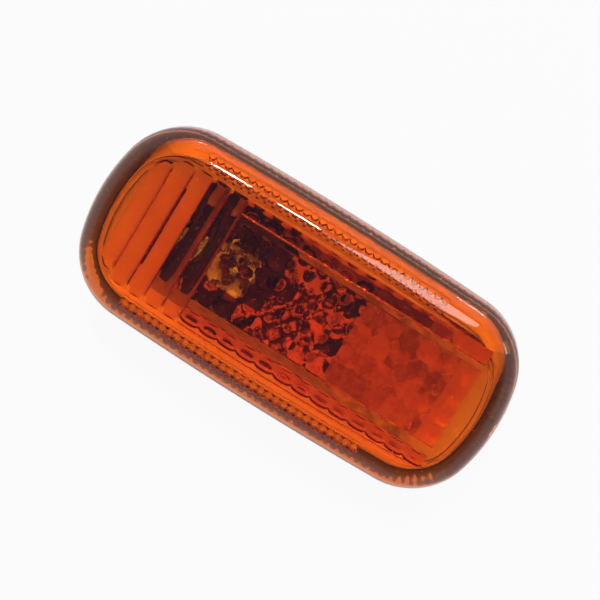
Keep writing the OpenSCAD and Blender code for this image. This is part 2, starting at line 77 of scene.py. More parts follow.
def editAll(piece):
    makeActive(piece)
    bpy.ops.object.mode_set(mode='EDIT')
    bpy.ops.mesh.select_all(action='SELECT')


def leaveEdit():
    bpy.ops.object.mode_set(mode='OBJECT')


def applyModifier(piece, kind, **settings):
    makeActive(piece)
    bpy.ops.object.modifier_add(type=kind)
    modifier = piece.modifiers[-1]
    for key, value in settings.items():
        setattr(modifier, key, value)
    bpy.ops.object.modifier_apply(modifier=modifier.name)


def gridPiece(name, columns, rows, place):
    deselectAll()
    bpy.ops.mesh.primitive_grid_add(x_subdivisions=columns, y_subdivisions=rows, size=1)
    piece = bpy.context.object
    piece.name = name
    for k, vertex in enumerate(piece.data.vertices):
        vertex.co = place(k % (columns + 1), k // (columns + 1))
    return piece


def closeSeams(piece):
    editAll(piece)
    bpy.ops.mesh.remove_doubles(threshold=mergeWithin)
    bpy.ops.mesh.select_all(action='SELECT')
    bpy.ops.mesh.normals_make_consistent(inside=False)
    leaveEdit()


def smoothBy(piece, degrees):
    makeActive(piece)
    bpy.ops.object.shade_smooth_by_angle(angle=math.radians(degrees))


def finishPiece(piece, material, slotName, *nodes):
    piece.data.materials.clear()
    piece.data.materials.append(material)
    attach(piece, "root")
    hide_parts(*nodes)


# The outline: arcs round the lamp, walked at even steps

outline = {
    'sideBow': 700 * mm,        # radius of the long sides
    'endBow': 34 * mm,
    'corner': 13 * mm,
    'sideStep': 0.2 * mm,       # spacing of the spokes along the long sides, fine for the beads
    'turnStep': 0.36 * mm,      # and round the ends
}

halfLength = lensHigh.x
halfWidth = lensHigh.y


def cornerCentre():
    sideCentre = Vector((0, halfWidth - outline['sideBow']))
    endCentre = Vector((halfLength - outline['endBow'], 0))
    toEnd = endCentre - sideCentre
    sideReach = outline['sideBow'] - outline['corner']
    endReach = outline['endBow'] - outline['corner']
    along = (toEnd.length_squared + sideReach ** 2 - endReach ** 2) / (2 * toEnd.length)
    aside = math.sqrt(sideReach ** 2 - along ** 2)
    ahead = toEnd.normalized()
    return sideCentre + along * ahead + aside * Vector((ahead.y, -ahead.x))


corner = cornerCentre()
endTurn = math.atan2(corner.y, corner.x - halfLength + outline['endBow'])
sideTurn = math.atan2(corner.y - halfWidth + outline['sideBow'], corner.x)


def walkOutline():
    half = math.pi
    endX = halfLength - outline['endBow']
    sideY = halfWidth - outline['sideBow']
    endBow, cornerRadius, sideBow = outline['endBow'], outline['corner'], outline['sideBow']
    arcs = []
    for turn, flip in ((0, 1), (half, -1)):
        cornerX, cornerY = flip * corner.x, flip * corner.y
        nextSide, nextEnd = turn + half - sideTurn, turn + half - endTurn
        arcs.append(((flip * endX, 0), endBow, turn - endTurn, turn + endTurn, 'turnStep'))
        arcs.append(((cornerX, cornerY), cornerRadius, turn + endTurn, turn + sideTurn, 'turnStep'))
        arcs.append(((0, flip * sideY), sideBow, turn + sideTurn, nextSide, 'sideStep'))
        arcs.append(((-cornerX, cornerY), cornerRadius, nextSide, nextEnd, 'turnStep'))
    spokes = []
    walked = 0
    for centre, radius, start, stop, step in arcs:
        length = radius * (stop - start)
        count = max(2, round(length / outline[step]))
        for k in range(count):
            angle = start + (stop - start) * k / count
            spokes.append((Vector(centre), radius, Vector((math.cos(angle), math.sin(angle))),
                walked + length * k / count))
        walked += length
    return spokes, walked


spokes, outlineLength = walkOutline()
print("outline walked:", len(spokes), "spokes,", round(outlineLength / mm, 1), "mm")


def onSpoke(spoke, inset):
    centre, radius, ray, walked = spoke
    return centre + (radius - inset) * ray


def eased(spoke, inset):                # the shoulder is narrower at the ends
    narrow = inset * lensSizes['endShoulder'] / lensSizes['shoulder']
    point = onSpoke(spoke, inset)
    return Vector((point.x * (halfLength - narrow) / (halfLength - inset), point.y))


# Lens shell: one skin from the middle of the face, over the shoulder, round the foot and back inside

lensSizes = {
    'wall': 1.6 * mm,
    'skirtTop': 3.4 * mm,
    'faceZ': 9 * mm,            # height of the face's edge
    'shoulder': 5.2 * mm,       # width of the shoulder on the long sides
    'endShoulder': 4 * mm,
    'crown': 0.8 * mm,
    'footRound': 0.3 * mm,
    'innerSkirtTop': 4.4 * mm,
    'innerFullness': 1.5,       # over 1 the wall is thicker in the middle of the shoulder
    'ribPitch': 1.55 * mm,      # ribs inside the skirt
    'ribDepth': 0.2 * mm,
    'ribTop': 4.2 * mm,
    'lipWidth': 1.3 * mm,       # a low round lip runs along the inside of the face's edge
    'lipHeight': 0.3 * mm,
    'capSteps': 9,              # faces across each part of the skin
    'outerSteps': 14,
    'footSteps': 3,
    'wallSteps': 5,
    'innerSteps': 32,
    'lipSteps': 8,
    'smoothBelow': 30,          # degrees between faces
}

innerFaceZ = lensSizes['faceZ'] - lensSizes['wall']
innerShoulder = lensSizes['shoulder'] - lensSizes['wall']


def shoulderRow(turn, start, width, low, high, fullness=1.0):
    across, up = math.cos(turn) ** fullness, math.sin(turn) ** fullness
    return start + width * (1 - across), low + (high - low) * up


def shellRows():                        # each row: its part, how far along it is, and its height
    s = lensSizes
    rows = []
    foot = lensLow.z
    for k in range(s['capSteps']):
        rows.append(('cap', k / s['capSteps'], s['faceZ']))
    for k in range(s['outerSteps'] + 1):
        rows.append(('outer', quarterTurn * (1 - k / s['outerSteps']), 0))
    for k in range(1, s['footSteps'] + 1):
        turn = quarterTurn * k / s['footSteps']
        rows.append(('skirt', s['footRound'] * (1 - math.cos(turn)),
            foot + s['footRound'] * (1 - math.sin(turn))))
    for k in range(s['wallSteps'] + 1):
        rows.append(('wall', k / s['wallSteps'], foot))
    for k in range(1, s['innerSteps'] + 1):
        rows.append(('inner', quarterTurn * k / s['innerSteps'], 0))
    for k in range(1, s['lipSteps'] + 1):
        rows.append(('lip', k / s['lipSteps'], innerFaceZ))
    for k in range(1, s['capSteps'] + 1):
        rows.append(('inner cap', 1 - k / s['capSteps'], innerFaceZ))
    return rows


beadSizes = {                   # rows of beads along the inside of the shoulder
    'pitch': 1.55 * mm,
    'radius': 0.72 * mm,
    'reachUp': 0.5 * mm,        # half the bead's length up the shoulder
    'height': 0.34 * mm,
    'bluntness': 0.6,           # power of the profile: 0.5 is half an ellipse, more is pointed
    'rowLength': 47 * mm,
    'middle': -2.5 * mm,
    'rowAngles': (50, 67, 84),  # degrees up the inside of the shoulder
}


def beadHeight(x, turn):
    b = beadSizes
    fromMiddle = x - b['middle']
    near = round(fromMiddle / b['pitch'])
    if abs(near * b['pitch']) > b['rowLength'] / 2:
        return 0
    across = fromMiddle - near * b['pitch']
    arcLength = quarterTurn * (innerShoulder + innerFaceZ - lensSizes['innerSkirtTop']) / 2
    best = 0
    for degrees in b['rowAngles']:
        up = (turn - math.radians(degrees)) / quarterTurn * arcLength
        away = math.hypot(across / b['radius'], up / b['reachUp'])
        if away < 1:
            best = max(best, b['height'] * (1 - away ** 2) ** b['bluntness'])
    return best


ribPitch = outlineLength / round(outlineLength / lensSizes['ribPitch'])     # a whole number all round


def ribDepth(spoke):                    # how much the skirt's wall is thinned here by the ribs inside it
    return lensSizes['ribDepth'] * (0.5 - 0.5 * math.cos(2 * math.pi * spoke[3] / ribPitch))


def crowned(point, rim):
    return lensSizes['crown'] * (1 - (point.length / rim.length) ** 2)


def shellPoint(spoke, row):
    s = lensSizes
    kind, value, z = row
    if kind in ('cap', 'lip', 'inner cap'):
        rim = eased(spoke, s['shoulder'])
        lipEnd = eased(spoke, s['shoulder'] + s['lipWidth'])
        point = {'cap': value * rim, 'lip': rim + value * (lipEnd - rim), 'inner cap': value * lipEnd}[kind]
        raised = s['lipHeight'] * dome(value) if kind == 'lip' else 0
        return Vector((point.x, point.y, z + crowned(point, rim) - raised))
    if kind == 'outer':
        inset, height = shoulderRow(value, 0, s['shoulder'], s['skirtTop'], s['faceZ'])
        point = eased(spoke, inset)
        return Vector((point.x, point.y, height))
    if kind == 'skirt':
        point = onSpoke(spoke, value)
        return Vector((point.x, point.y, z))
    if kind == 'wall':
        height = z + (s['innerSkirtTop'] - z) * value
        fade = max(0, min(1, (s['ribTop'] - height) / s['footRound']))
        point = eased(spoke, s['wall'] - ribDepth(spoke) * fade)
        return Vector((point.x, point.y, height))
    inset, height = shoulderRow(value, s['wall'], innerShoulder, s['innerSkirtTop'], innerFaceZ,
        s['innerFullness'])
    point = eased(spoke, inset)
    ray = spoke[2]
    onSide = abs(ray.y) > math.sin(sideTurn) - 1e-6     # less a little for rounding
    bead = beadHeight(point.x, value) if onSide else 0
    outward = Vector((ray.x * math.cos(value), ray.y * math.cos(value), math.sin(value)))
    return Vector((point.x, point.y, height)) - bead * outward


def makeShell():
    rows = shellRows()
    count = len(spokes)
    shell = gridPiece("lensShell", count, len(rows) - 1, lambda i, j: shellPoint(spokes[i % count], rows[j]))
    closeSeams(shell)
    return shell


def blockUp(sheet, rootZ):              # a sheet of optics becomes a block that reaches into the wall
    editAll(sheet)
    bpy.ops.mesh.extrude_region_move(TRANSFORM_OT_translate={"value": (0, 0, mm)})
    bpy.ops.transform.resize(value=(1, 1, 0), center_override=(0, 0, rootZ))
    bpy.ops.mesh.select_all(action='SELECT')
    bpy.ops.mesh.normals_make_consistent(inside=False)
    leaveEdit()


def dome(t):                            # 0 at both ends, 1 in the middle
    return 1 - (2 * t - 1) ** 2


fluteSizes = {
    'count': 5,
    'pitch': 3.5 * mm,
    'sag': 0.86 * mm,
    'parabola': 0.5,            # share of a parabola in the profile, the rest is a sine
    'margin': 0.6 * mm,
    'valleyIn': 0.06 * mm,      # how far the valleys stand in from the edge of the inner face
    'endRound': 1.4 * mm,
    'stepsAcross': 14,
    'stepsAlong': 64,
}


def makeFlutes():
    f = fluteSizes
    across = f['stepsAcross']
    valleyZ = innerFaceZ - f['valleyIn']
    faceCorner = outline['corner'] - lensSizes['shoulder'] - f['margin']

    def reach(x):
        past = max(0, abs(x) - corner.x - lensSizes['shoulder'] + lensSizes['endShoulder'])
        return corner.y + math.sqrt(max(0, faceCorner ** 2 - past ** 2))

    def place(i, j):
        flute = min(i // across, f['count'] - 1)
        t = i / across - flute
        x = pillowSizes['start'] - f['pitch'] * (f['count'] - i / across)
        middle = pillowSizes['start'] - f['pitch'] * (f['count'] - flute - 0.5)
        y = reach(x) * math.sin(quarterTurn * (2 * j / f['stepsAlong'] - 1))
        left = max(0, min(1, (min(reach(middle), reach(x)) - abs(y)) / f['endRound']))
        ending = math.sqrt(max(0, 1 - (1 - left) ** 2))
        bulge = f['parabola'] * dome(t) + (1 - f['parabola']) * math.sin(math.pi * t)
        return Vector((x, y, valleyZ - f['sag'] * bulge * ending))

    flutes = gridPiece("flutes", f['count'] * across, f['stepsAlong'], place)
    blockUp(flutes, innerFaceZ + lensSizes['wall'] / 2)
    return flutes


pillowSizes = {
    'columns': 13,
    'rows': 4,
    'length': 3.74 * mm,
    'width': 3.9 * mm,
    'sag': 0.6 * mm,
    'start': -16.4 * mm,
    'padIn': 1.2 * mm,
    'middle': 0.5 * mm,
    'strips': (2.0 * mm, 1.3 * mm),     # bare strips of wall beside the pad, near and far
    'stripRise': 1.0 * mm,      # over the face's edge, so that the strips end inside the wall
    'stepWidth': 0.1 * mm,      # the steep sides of pad and outer rows
    'outerIn': 1.5 * mm,        # the outer rows stand out further than the pad
    'outerRows': (1.6 * mm, 2.7 * mm),
    'endRound': 0.8 * mm,       # rounded ends of the near row, scalloped in plan
    'endLeast': 0.4,            # share of that between two scallops
    'endPower': 3,              # more makes the ends squarer
    'steps': 8,
}


def makePillows():
    p = pillowSizes
    padZ = innerFaceZ - p['padIn']
    near = p['middle'] - p['rows'] * p['width'] / 2
    far = p['middle'] + p['rows'] * p['width'] / 2
    nearStrip, farStrip = p['strips']
    nearRow, farRow = p['outerRows']
    outerZ = innerFaceZ - p['outerIn']
    stripZ = innerFaceZ + p['stripRise']
    step = p['stepWidth']
    rowStart = near - nearStrip - nearRow
    bands = [                           # each band: start, width, height at both sides, sag of its pillows
        (rowStart, 0, outerZ, outerZ, 0),       # the rounded ends
        (rowStart, nearRow, outerZ, outerZ, p['sag']),
        (near - nearStrip, step, outerZ, stripZ, 0),
        (near - nearStrip + step, nearStrip - 2 * step, stripZ, stripZ, 0),
        (near - step, step, stripZ, padZ, 0),
    ]
    for row in range(p['rows']):
        bands.append((near + row * p['width'], p['width'], padZ, padZ, p['sag']))
    bands += [
        (far, step, padZ, stripZ, 0),
        (far + step, farStrip - 2 * step, stripZ, stripZ, 0),
        (far + farStrip - step, step, stripZ, outerZ, 0),
        (far + farStrip, farRow, outerZ, outerZ, p['sag']),
    ]
    steps = p['steps']

    def place(i, j):
        band = min(j // steps, len(bands) - 1)
        start, width, lowZ, highZ, sag = bands[band]
        t = j / steps - band
        u = i / steps - i // steps
        x = p['start'] + p['length'] * i / steps
        if band == 0:
            reach = p['endRound'] * (p['endLeast'] + (1 - p['endLeast']) * math.sqrt(max(0, dome(u))))
            left, risen = 1 - t ** p['endPower'], 1 - (1 - t) ** p['endPower']
            return Vector((x, start - reach * left, stripZ + (highZ - stripZ) * risen))
        return Vector((x, start + width * t, lowZ + (highZ - lowZ) * t - sag * dome(t) * dome(u)))

    pillows = gridPiece("pillows", p['columns'] * steps, len(bands) * steps, place)
    blockUp(pillows, innerFaceZ + lensSizes['wall'] / 2 + lensSizes['crown'] / 2)
    return pillows


def makeLens(material):
    lens = makeShell()
    for block in (makeFlutes(), makePillows()):
        applyModifier(lens, 'BOOLEAN', operation='UNION', solver='EXACT', object=block)
        bpy.data.objects.remove(block)
    lens.name = "lensMoulding"
    closeSeams(lens)
    smoothBy(lens, lensSizes['smoothBelow'])
    finishPiece(lens, material, "amber_lens", "lens")
    print("lens:", len(lens.data.polygons), "faces")


# Sealant: a hand-run bead of black butyl, uneven along both edges and thin at the clip end

sealantSizes = {
    'width': 0.95 * mm,
    'sideWidth': 0.65 * mm,     # narrower along the long sides
    'clear': 0.03 * mm,         # gap to the housing
    'wetted': 0.04 * mm,        # depth by which the butyl wets the skirt, so that no air shows between
    'taper': 6,                 # more keeps the full width further round the ends
    'lumpSize': 1.1 * mm,
    'lumpShape': (0.6, 2.1, 5),         # roughness, lacunarity and octaves of the unevenness
    'seeds': (3, 12),           # one for the outer edge, one for the top
    'gapDepth': 0.34 * mm,      # notches in the outer edge, where the unevenness is over gapOver
    'gapOver': 0.5,
    'topDip': 0.1088 * mm,
    'topSwing': 0.2448 * mm,
    'thinAt': 1.9 * mm,         # half the length of the thin spot in the clip end
    'thinSpot': (0.45, 0.1),    # shares of the width that it loses outside and inside
    'thinDrop': 0.9 * mm,       # and how much lower it is
    'squareness': 0.8,          # of the bead's section: 0 is round, 1 is square
    'steps': 12,
    'smoothBelow': 60,
}


def makeSealant(material):
    s = sealantSizes
    count = len(spokes)
    steps = s['steps']

    def lumps(point, seed):
        place = Vector((point.x / s['lumpSize'], point.y / s['lumpSize'], seed))
        return noise.fractal(place, *s['lumpShape'])

    def place(i, j):
        spoke = spokes[i % count]
        ray = spoke[2]
        onWall = onSpoke(spoke, lensSizes['wall'])
        thin = max(0, 1 - (onWall.y / s['thinAt']) ** 2) if ray.x > 0 else 0
        gap = s['gapDepth'] * max(0, lumps(onWall, s['seeds'][0]) - s['gapOver'])
        outer = lensSizes['wall'] - ribDepth(spoke) - s['wetted'] + gap + thin * s['width'] * s['thinSpot'][0]
        width = s['width'] - (s['width'] - s['sideWidth']) * abs(ray.y) ** s['taper']
        inner = lensSizes['wall'] + width - s['clear'] - thin * s['width'] * s['thinSpot'][1]
        uneven = s['topSwing'] * lumps(onWall, s['seeds'][1])
        top = sealantHigh.z - s['topDip'] + uneven - thin * s['thinDrop']
        turn = 2 * math.pi * j / steps
        square = max(abs(math.cos(turn)), abs(math.sin(turn))) ** s['squareness']
        across = min(1, max(0, 0.5 + 0.5 * math.cos(turn) / square))
        up = min(1, max(0, 0.5 + 0.5 * math.sin(turn) / square))
        point = onSpoke(spoke, inner).lerp(eased(spoke, outer), across)
        return Vector((point.x, point.y, sealantLow.z + (top - sealantLow.z) * up))

    bead = gridPiece("sealantBead", count, steps, place)
    closeSeams(bead)
    smoothBy(bead, s['smoothBelow'])
    finishPiece(bead, material, "black_sealant", "sealant")
    print("sealant:", len(bead.data.polygons), "faces")


# Moulded and stamped pieces: the solid's own form, with its edges broken as tools leave them

softening = {
    'flatWithin': 0.6,          # degrees: faces that differ less become one
    'edgeAngle': 32,            # and edges sharper than this are broken
    'smoothBelow': 35,
    'edges': {                  # width of each piece's broken edges, and faces across them
        'housing': (0.14 * mm, 2),
        'bulb_holder': (0.14 * mm, 2),
        'gasket': (0.2 * mm, 2),
        'holder_seal': (0.25 * mm, 3),
        'spring_clip': (0.12 * mm, 2),
        'bulb_glass': (0, 2),
    },
}


def softened(node, name):
    width, segments = softening['edges'][node]
    deselectAll()
    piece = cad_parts[node].copy()
    piece.data = piece.data.copy()
    piece.name = name
    for key in list(piece.keys()):
        del piece[key]
    piece.parent = None
    bpy.context.collection.objects.link(piece)
    editAll(piece)
    bpy.ops.mesh.remove_doubles(threshold=mergeWithin)
    bpy.ops.mesh.select_all(action='SELECT')
    bpy.ops.mesh.dissolve_limited(angle_limit=math.radians(softening['flatWithin']))
    leaveEdit()
    if width:
        applyModifier(piece, 'BEVEL', width=width, segments=segments, limit_method='ANGLE',
            angle_limit=math.radians(softening['edgeAngle']), use_clamp_overlap=True, harden_normals=False)
    smoothBy(piece, softening['smoothBelow'])
    return piece


# Shader maths: an expression on these adds its own nodes

class Signal:
    def __init__(self, finish, socket):
        self.finish = finish
        self.socket = socket

    def maths(self, operation, first, second):
        return self.finish.add('ShaderNodeMath', {'operation': operation}, {0: first, 1: second})

    def __add__(self, other):
        return self.maths('ADD', self, other)

    def __radd__(self, other):
        return self.maths('ADD', other, self)

    def __sub__(self, other):
        return self.maths('SUBTRACT', self, other)

    def __rsub__(self, other):
        return self.maths('SUBTRACT', other, self)

    def __mul__(self, other):
        return self.maths('MULTIPLY', self, other)

    def __rmul__(self, other):
        return self.maths('MULTIPLY', other, self)


class Finish:
    def __init__(self, name):
        self.material = bpy.data.materials.new(name)
        self.material.use_nodes = True
        self.nodes = self.material.node_tree.nodes
        self.links = self.material.node_tree.links
        self.surface = self.nodes['Principled BSDF']
        self.output = self.nodes['Material Output']
        self.place = self.add('ShaderNodeTexCoord', {}, {}, 'Object')

    def add(self, kind, settings, inputs, output=0):
        node = self.nodes.new(kind)
        for key, value in settings.items():
            setattr(node, key, value)
        self.feed(node, inputs)
        return Signal(self, node.outputs[output])

    def feed(self, node, inputs):
        for key, value in inputs.items():
            if isinstance(value, Signal):
                self.links.new(value.socket, node.inputs[key])
            else:
                node.inputs[key].default_value = value

    def noise(self, scale, detail=4, rough=0.55, stretch=None):
        place = self.place
        if stretch:
            place = self.add('ShaderNodeMapping', {}, {'Vector': self.place, 'Scale': stretch})
        return self.add('ShaderNodeTexNoise', {},
            {'Vector': place, 'Scale': scale, 'Detail': detail, 'Roughness': rough}, 'Fac')

    def mask(self, signal, low, high):  # 0 at low and 1 at high, whichever of them is the larger
        return self.add('ShaderNodeMapRange', {'interpolation_type': 'SMOOTHSTEP'},
            {'Value': signal, 'From Min': low, 'From Max': high})

    def blend(self, factor, first, second):
        mixed = self.nodes.new('ShaderNodeMix')
        mixed.data_type = 'RGBA'
        self.feed(mixed, {0: factor, 6: first, 7: second})
        return Signal(self, mixed.outputs[2])

    def bump(self, height, distance, strength=1.0):
        return self.add('ShaderNodeBump', {}, {'Height': height, 'Distance': distance, 'Strength': strength})

    def letLampsThrough(self, share):   # the lamps' light goes straight through, dimmed to this share
        clear = self.add('ShaderNodeBsdfTransparent', {}, {'Color': share})
        shadow = self.add('ShaderNodeLightPath', {}, {}, 'Is Shadow Ray')
        surface = Signal(self, self.surface.outputs[0])
        mixed = self.add('ShaderNodeMixShader', {}, {0: shadow, 1: surface, 2: clear})
        self.links.new(mixed.socket, self.output.inputs['Surface'])

    def mouldedGrain(self, grain):      # fine grain, broad tone, and marks of the plastic's flow
        flow = self.noise(160, 2, 0.5, (0.15, 1, 1))
        return self.noise(grain, 4, 0.6), self.noise(90, 3, 0.5), flow


def paint(red, green, blue):            # a colour as seen on screen, from 0 to 1, made linear
    def linear(c):
        return c / 12.92 if c <= 0.04045 else ((c + 0.055) / 1.055) ** 2.4

    return linear(red), linear(green), linear(blue), 1


amber = {
    'tint': (1.0, 0.64, 0.3, 1),
    'depth': (0.955, 0.7, 0.0, 1),      # colour left after one density length
    'density': 1000,
    'ior': 1.49,
    'through': (1.0, 0.82, 0.55, 1),    # what a lamp's light keeps at each surface on its way in
}


def amberFinish():
    f = Finish("amber lens")
    dust = f.mask(f.noise(2600, 2, 0.4), 0.71, 0.76)
    hairs = f.mask(f.noise(900, 3, 0.5, (1, 0.04, 1)), 0.73, 0.76)
    smear = f.noise(60, 3, 0.6)
    rough = 0.015 + 0.03 * smear + 0.25 * dust + 0.1 * hairs
    ripple = f.noise(240, 2, 0.5)
    f.feed(f.surface, {
        'Base Color': amber['tint'],
        'Roughness': rough,
        'IOR': amber['ior'],
        'Transmission Weight': 1.0,
        'Normal': f.bump(ripple + 0.4 * dust, 0.00003, 0.5),
    })
    inside = f.add('ShaderNodeVolumeAbsorption', {}, {'Color': amber['depth'], 'Density': amber['density']})
    f.links.new(inside.socket, f.output.inputs['Volume'])
    f.letLampsThrough(amber['through'])
    return f.material


sealantShades = {
    'dark': paint(0.05, 0.03, 0.07),
    'light': paint(0.14, 0.09, 0.14),
}


def sealantFinish():
    f = Finish("black butyl")
    lumps = f.noise(1400, 5, 0.65)
    f.feed(f.surface, {
        'Base Color': f.blend(lumps, sealantShades['dark'], sealantShades['light']),
        'Roughness': 0.35 + 0.3 * lumps,
        'Normal': f.bump(lumps, 0.0002),
    })
    return f.material


plastics = {                    # dark and light shade, roughness, scale of the grain
    "black holder": (paint(0.1, 0.1, 0.105), paint(0.16, 0.16, 0.165), 0.42, 2400),
    "seal rubber": (paint(0.12, 0.12, 0.12), paint(0.17, 0.17, 0.17), 0.62, 900),
}


def mouldedFinish(name):
    dark, light, rough, grain = plastics[name]
    f = Finish(name)
    fine, broad, flow = f.mouldedGrain(grain)
    f.feed(f.surface, {
        'Base Color': f.blend(f.mask(broad + 0.5 * flow, 0.45, 1.05), dark, light),
        'Roughness': rough + 0.16 * fine - 0.1 * broad,
        'Normal': f.bump(fine + 0.3 * broad, 0.00003),
    })
    return f.material


housingShades = {
    'plain': paint(0.75, 0.75, 0.755),
    'light': paint(0.8, 0.8, 0.8),
    'grain': 2400,
    'paintedShadeClouds': paint(0.56, 0.56, 0.565),     # painted shade, in cloudy patches over the ramp and the tub's walls
    'cloudSize': 360,                       # more makes the clouds of painted shade and the patches of painted light smaller
    'cloudEdges': (0.76, 0.52),
    'cloudY': (-10.6 * mm, 10.6 * mm),
    'rampSlope': 0.39,
    'rampFrom': (-8.4 * mm, -8.0 * mm),     # the ramp's height where its line meets x = 0
    'paintedLightLedge': paint(0.9, 0.9, 0.89),         # painted light: a lighter band along the long sides, under the lens
    'betweenLedges': (-12.2 * mm, 12.2 * mm),
    'ledgeZ': (1.3 * mm, 1.5 * mm),
    'paintedWellShade': paint(0.03, 0.028, 0.035),      # painted shade: near black on the floor round the bulb
    'wellX': (-25.2 * mm, 8.8 * mm),
    'wellY': (-10.6 * mm, 10.4 * mm),
    'wellZ': (-8.6 * mm, -7.8 * mm),
    'edge': 0.2 * mm,
    'paintedLightPatches': paint(0.86, 0.8, 0.72),      # painted light: lit patches on that floor's painted shade
    'patchEdges': (0.45, 0.58),
    'pastHook': (-17.5 * mm, -15.5 * mm),   # no painted light patches and no painted shade clouds nearer to the hook end
    'streakY': (5.0 * mm, 8.2 * mm),        # a streak along the floor that the painted shade leaves out, so it keeps the lighter grey
}


def housingFinish():
    f = Finish("grey housing")
    h = housingShades
    fine, broad, flow = f.mouldedGrain(h['grain'])
    x, y, z = (f.add('ShaderNodeSeparateXYZ', {}, {0: f.place}, axis) for axis in 'XYZ')

    def within(along, low, high):
        return f.mask(along, low, low + h['edge']) * f.mask(along, high + h['edge'], high)

    cloudy = f.noise(h['cloudSize'], 4, 0.65)
    pastHook = f.mask(x, *h['pastHook'])
    # painted shade in cloudy patches over the ramp and the tub's walls
    overRamp = f.mask(z - h['rampSlope'] * x, *h['rampFrom']) * within(y, *h['cloudY'])
    paintedShadeClouds = f.mask(cloudy + 0.3 * flow, *h['cloudEdges']) * overRamp * pastHook
    # painted light: a lighter band along the top of the long sides
    paintedLightLedge = (1 - within(y, *h['betweenLedges'])) * f.mask(z, *h['ledgeZ'])
    grey = f.blend(f.mask(broad + 0.5 * flow, 0.45, 1.05), h['plain'], h['light'])
    grey = f.blend(paintedLightLedge, f.blend(paintedShadeClouds, grey, h['paintedShadeClouds']), h['paintedLightLedge'])
    # painted shade on the floor round the bulb, left out along the streak
    paintedWellShade = within(x, *h['wellX']) * within(y, *h['wellY']) * within(z, *h['wellZ'])
    paintedWellShade = paintedWellShade * (1 - within(y, *h['streakY']))
    # painted light: patches of lighter colour over the painted shade of the floor
    floor = f.blend(f.mask(cloudy, *h['patchEdges']) * pastHook, h['paintedWellShade'], h['paintedLightPatches'])
    f.feed(f.surface, {
        'Base Color': f.blend(paintedWellShade, grey, floor),
        'Roughness': 0.5 + 0.16 * fine - 0.1 * broad,
        'Normal': f.bump(fine + 0.3 * broad, 0.00003),
    })
    return f.material


foamShades = {
    'dark': paint(0.1, 0.1, 0.105),
    'light': paint(0.24, 0.24, 0.25),
    'cells': 3200,              # more makes them smaller
}


def foamFinish():
    f = Finish("foam gasket")
    cells = f.add('ShaderNodeTexVoronoi', {}, {'Vector': f.place, 'Scale': foamShades['cells']}, 'Distance')
    broad = f.noise(300, 3)
    f.feed(f.surface, {
        'Base Color': f.blend(cells * broad, foamShades['dark'], foamShades['light']),
        'Roughness': 0.95 - 0.1 * cells,
        'Normal': f.bump(cells, 0.00012),
    })
    return f.material


metals = {                      # dark and light shade, roughness, stretch of the drawn or rolled lines
    "spring steel": (paint(0.66, 0.66, 0.65), paint(0.82, 0.82, 0.80), 0.32, (0.08, 1, 0.08)),
    "contact brass": (paint(0.72, 0.55, 0.28), paint(0.88, 0.74, 0.45), 0.3, (1, 1, 0.08)),
    "lead wire": (paint(0.66, 0.64, 0.6), paint(0.84, 0.82, 0.78), 0.3, (1, 1, 0.1)),
    "filament": (paint(0.35, 0.35, 0.37), paint(0.5, 0.5, 0.52), 0.45, (0.1, 1, 1)),
}


def metalFinish(name):
    dark, light, rough, stretch = metals[name]
    f = Finish(name)
    lines = f.noise(1800, 4, 0.6, stretch)
    patch = f.noise(260, 4, 0.6)
    f.feed(f.surface, {
        'Base Color': f.blend(f.mask(patch, 0.35, 0.7), dark, light),
        'Metallic': 1.0,
        'Roughness': rough + 0.22 * lines + 0.12 * patch - 0.1,
        'Normal': f.bump(lines, 0.000012),
    })
    return f.material


glass = {
    'tint': paint(0.98, 0.99, 0.99),
    'ior': 1.5,
    'through': paint(0.96, 0.97, 0.97),
}


def glassFinish():
    f = Finish("bulb glass")
    haze = f.noise(500, 3)
    f.feed(f.surface, {
        'Base Color': glass['tint'],
        'Roughness': 0.02 * haze + 0.005,
        'IOR': glass['ior'],
        'Transmission Weight': 1.0,
        'Normal': f.bump(f.noise(180, 2), 0.00004),
    })
    f.letLampsThrough(glass['through'])
    return f.material


# Camera: leans a little to the far long side, and is turned so that the lamp lies as in the picture

cameraSizes = {
    'distance': 0.36,
    'leanAcross': 11.0,         # degrees towards +Y
    'leanAlong': 1.0,           # degrees towards +X
    'turn': 32.4,               # degrees of the lamp's length below the level
    'pixelsAcross': 600,
    'pixelsPerMetre': 5780,
    'lampPixel': (298, 308),    # where the lamp's centre lies in the picture
    'aimHeight': 3 * mm,
    'sensor': 36,               # width of the camera's sensor, in its own millimetres
    'clip': (0.01, 20),         # nearest and furthest distance that it sees
}


def makeCamera():
    c = cameraSizes
    across = math.radians(c['leanAcross'])
    along = math.radians(c['leanAlong'])
    back = Vector((math.tan(along), math.tan(across), 1)).normalized()
    turn = math.radians(c['turn'])
    level = Vector((math.cos(turn), math.sin(turn), 0))
    up = back.cross(level).normalized()
    right = up.cross(back)
    half = c['pixelsAcross'] / 2
    aim = Vector((0, 0, c['aimHeight']))
    aim += right * (half - c['lampPixel'][0]) / c['pixelsPerMetre']
    aim += up * (c['lampPixel'][1] - half) / c['pixelsPerMetre']
    turned = Matrix((right, up, back)).transposed().to_4x4()
    bpy.ops.object.camera_add()
    camera = bpy.context.object
    camera.name = "camera"
    camera.matrix_world = Matrix.Translation(aim + back * c['distance']) @ turned
    camera.data.sensor_width = c['sensor']
    camera.data.lens = c['sensor'] * c['distance'] * c['pixelsPerMetre'] / c['pixelsAcross']
    camera.data.clip_start, camera.data.clip_end = c['clip']
    bpy.context.scene.camera = camera


# Floor and lights

stageSizes = {
    'floorDrop': 0.3 * mm,      # under the lowest point of the lamp
    'floorSize': 6,
    'floorShade': (0.92, 0.92, 0.92, 1),
    'floorRough': 0.9,
    'whiteShares': {            # the rest is the lit floor, which holds the lamp's shadow
        'Is Camera Ray': 0.92,
        'Is Glossy Ray': 0.6,
        'Is Transmission Ray': 0.4,
    },
    'skyLow': (0.97, 0.93, 1.08),       # the studio's walls, from the floor up
    'skyHigh': (0.16, 0.15, 0.26),      # and its ceiling
    'skyEdges': (0.1, 0.75),    # heights over which the one turns into the other, as sines
}

